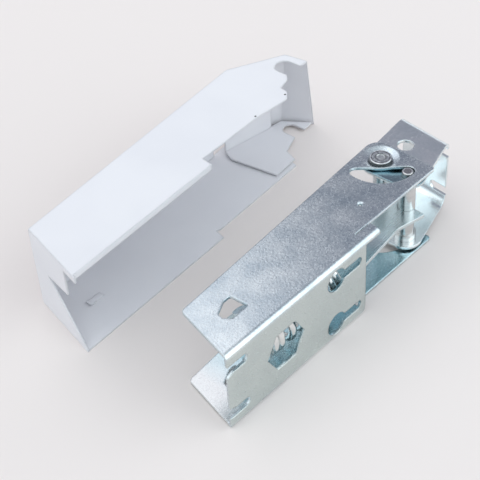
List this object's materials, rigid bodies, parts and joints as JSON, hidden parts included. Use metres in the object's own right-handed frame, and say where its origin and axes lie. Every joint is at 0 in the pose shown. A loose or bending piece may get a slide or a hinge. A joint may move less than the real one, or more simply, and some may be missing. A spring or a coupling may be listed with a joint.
{
  "type": "fridge door hinge",
  "caption": "Spring-loaded lid hinge of folded zinc-plated steel, standing open on its side, with its white sheet cover taken off and lying beside it.",
  "frame": {"origin": "on the cabinet face, midway between the screw seats of its two keyholes and half way between the side plates", "axes": "+X along the hinge towards the lid bracket, -Y out of the cabinet face towards the cabinet, +Z along the pivot, up as the hinge lies on its side"},
  "size_m": [0.1936, 0.1348, 0.047],
  "materials": {
    "bracket_zinc": "bright zinc plate",
    "lid_zinc": "bright zinc plate",
    "rivet_steel": "bright zinc plate",
    "pin_steel": "bright zinc plate",
    "strap_zinc": "bright zinc plate",
    "seat_zinc": "bright zinc plate",
    "spring_wire": "plated spring wire",
    "cover_paint": "satin white paint",
    "cover_end_paint": "satin white paint"
  },
  "bodies": {
    "base": {"cabinet_bracket": "bracket_zinc", "pivot_rivet": "rivet_steel", "spring_seat": "seat_zinc", "coil_spring": "spring_wire", "hinge_cover": "cover_paint", "cover_end": "cover_end_paint"},
    "lid_arm": {"lid_bracket": "lid_zinc", "link_pin": "pin_steel"},
    "strap": {"push_strap": "strap_zinc"}
  },
  "joints": [
    {"name": "lid_pivot", "type": "hinge", "parent": "base", "child": "lid_arm", "pos_m": [0.0548, 0.0309, 0], "axis": [0, 0, 1], "range_deg": [-85, 0], "stiffness_Nm_per_rad": 0.3, "deforming": ["coil_spring"]},
    {"name": "strap_swing", "type": "hinge", "parent": "lid_arm", "child": "strap", "pos_m": [0.05502, 0.0152, 0], "axis": [0, 0, 1], "range_deg": [0, 94]}
  ],
  "couplings": [
    {"joint": "strap_swing", "follows": "lid_pivot", "ratio": -1.09}
  ]
}
